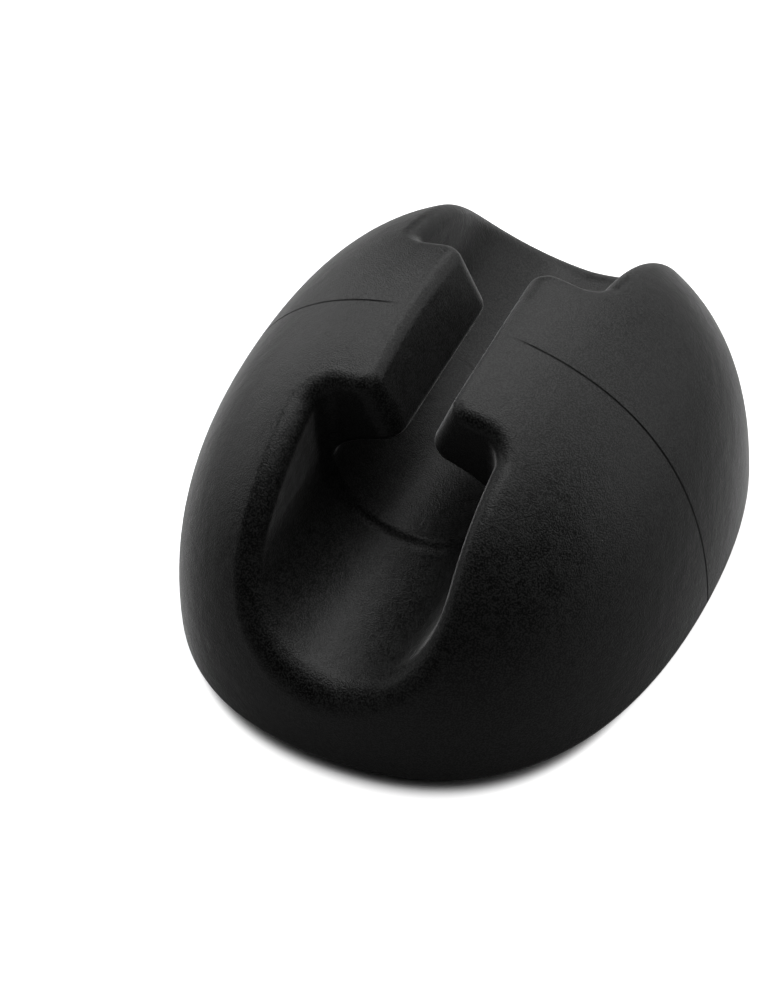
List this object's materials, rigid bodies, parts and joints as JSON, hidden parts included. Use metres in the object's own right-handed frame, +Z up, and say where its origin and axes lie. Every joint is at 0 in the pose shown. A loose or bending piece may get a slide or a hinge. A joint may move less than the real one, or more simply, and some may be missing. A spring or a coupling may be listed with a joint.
{
  "type": "adhesive cable clip",
  "caption": "Domed rubber cable clip on a foam adhesive pad; soft jaws over an open-ended channel hold a lead pressed in through the slot between them.",
  "frame": {"origin": "middle of the adhesive face under the pad", "axes": "+Z up from the surface the clip is stuck to, +Y along the cable channel, +X across it"},
  "size_m": [0.028, 0.035, 0.0167],
  "materials": {
    "rubber": "matte, very fine grain",
    "foam_tape": "matte foam"
  },
  "bodies": {
    "root": {"clip_body": "rubber", "adhesive_pad": "foam_tape"}
  },
  "joints": []
}
